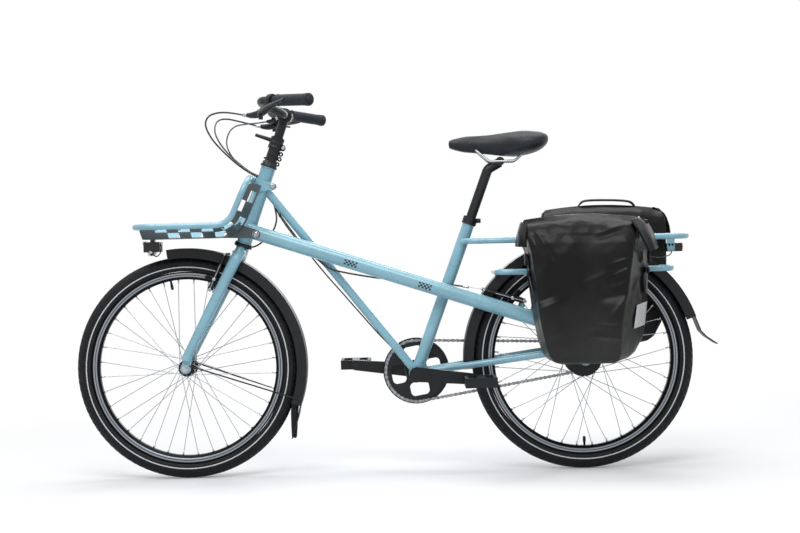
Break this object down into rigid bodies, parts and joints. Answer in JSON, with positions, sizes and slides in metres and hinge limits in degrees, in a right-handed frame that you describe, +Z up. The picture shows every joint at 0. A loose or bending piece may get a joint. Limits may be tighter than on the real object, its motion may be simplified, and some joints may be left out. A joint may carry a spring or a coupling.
{
  "type": "utility bicycle",
  "caption": "Step-through utility bicycle with a front tray rack, a long rear rack, side bags, full mudguards, swept bar, and turning wheels, cranks, pedals and fork.",
  "frame": {"origin": "sitting point on top of the saddle, where the rider holds the bicycle upright", "axes": "+X to the rear of the bicycle, +Y to the rider's right, +Z up"},
  "size_m": [1.7533, 0.654, 1.0322],
  "materials": {
    "frame_paint": "gloss powder coat over steel tube",
    "black_metal": "satin black powder coat",
    "bright_steel": "zinc-plated steel",
    "chain_steel": "oiled steel chain",
    "black_plastic": "moulded black polymer",
    "lamp_plastic": "moulded black lamp housing",
    "tyre_rubber": "black tyre with a reflective side stripe",
    "grip_rubber": "soft black grip rubber",
    "rim_black": "black anodised rim with a machined braking track",
    "alloy_black": "black anodised aluminium",
    "tarpaulin": "black coated tarpaulin",
    "saddle_cover": "black synthetic leather"
  },
  "bodies": {
    "frame": {"head_tube": "frame_paint", "main_tubes": "frame_paint", "diagonal_tube": "frame_paint", "seat_tube": "frame_paint", "bottom_bracket": "frame_paint", "chainstays": "frame_paint", "rack_stays": "frame_paint", "rear_rack": "frame_paint", "pannier_rails": "frame_paint", "seat_collar": "black_metal", "seatpost": "black_metal", "saddle_rails": "bright_steel", "saddle": "saddle_cover", "rear_mudguard": "black_plastic", "tail_lamp": "lamp_plastic", "front_rack": "frame_paint", "front_tray": "frame_paint", "front_lamp": "lamp_plastic", "rear_brake": "black_metal", "chain": "chain_steel", "rear_axle": "bright_steel", "left_pannier": "tarpaulin", "right_pannier": "tarpaulin"},
    "steering": {"fork": "frame_paint", "stem": "black_metal", "handlebar": "black_metal", "grips": "grip_rubber", "brake_levers": "black_metal", "shifter": "black_plastic", "front_mudguard": "black_plastic", "front_brake": "black_metal", "front_axle": "bright_steel"},
    "front_wheel": {"front_tyre": "tyre_rubber", "front_rim": "rim_black", "front_hub": "alloy_black", "front_spokes": "bright_steel"},
    "rear_wheel": {"rear_tyre": "tyre_rubber", "rear_rim": "rim_black", "rear_hub": "alloy_black", "rear_spokes": "bright_steel"},
    "crankset": {"chainring": "black_metal", "cranks": "alloy_black"},
    "left_pedal": {"left_pedal": "black_plastic"},
    "right_pedal": {"right_pedal": "black_plastic"},
    "rear_sprocket": {"sprocket": "chain_steel"}
  },
  "joints": [
    {"name": "steering_turn", "type": "hinge", "parent": "frame", "child": "steering", "pos_m": [-0.89229, 0, -0.63685], "axis": [0.3338, 0, 0.9426], "range_deg": [-60, 60]},
    {"name": "front_wheel_spin", "type": "hinge", "parent": "steering", "child": "front_wheel", "pos_m": [-0.93, 0, -0.6235], "axis": [0, 1, 0], "continuous": true},
    {"name": "rear_wheel_spin", "type": "hinge", "parent": "frame", "child": "rear_wheel", "pos_m": [0.152, 0, -0.6235], "axis": [0, 1, 0], "continuous": true},
    {"name": "crank_spin", "type": "hinge", "parent": "frame", "child": "crankset", "pos_m": [-0.304, 0, -0.653], "axis": [0, 1, 0], "continuous": true},
    {"name": "sprocket_spin", "type": "hinge", "parent": "frame", "child": "rear_sprocket", "pos_m": [0.152, 0, -0.6235], "axis": [0, 1, 0], "continuous": true},
    {"name": "left_pedal_spin", "type": "hinge", "parent": "crankset", "child": "left_pedal", "pos_m": [-0.13493, -0.07, -0.67077], "axis": [0, 1, 0], "continuous": true},
    {"name": "right_pedal_spin", "type": "hinge", "parent": "crankset", "child": "right_pedal", "pos_m": [-0.47307, 0.07, -0.63523], "axis": [0, 1, 0], "continuous": true}
  ],
  "couplings": [
    {"joint": "sprocket_spin", "follows": "crank_spin", "ratio": 2.1}
  ]
}
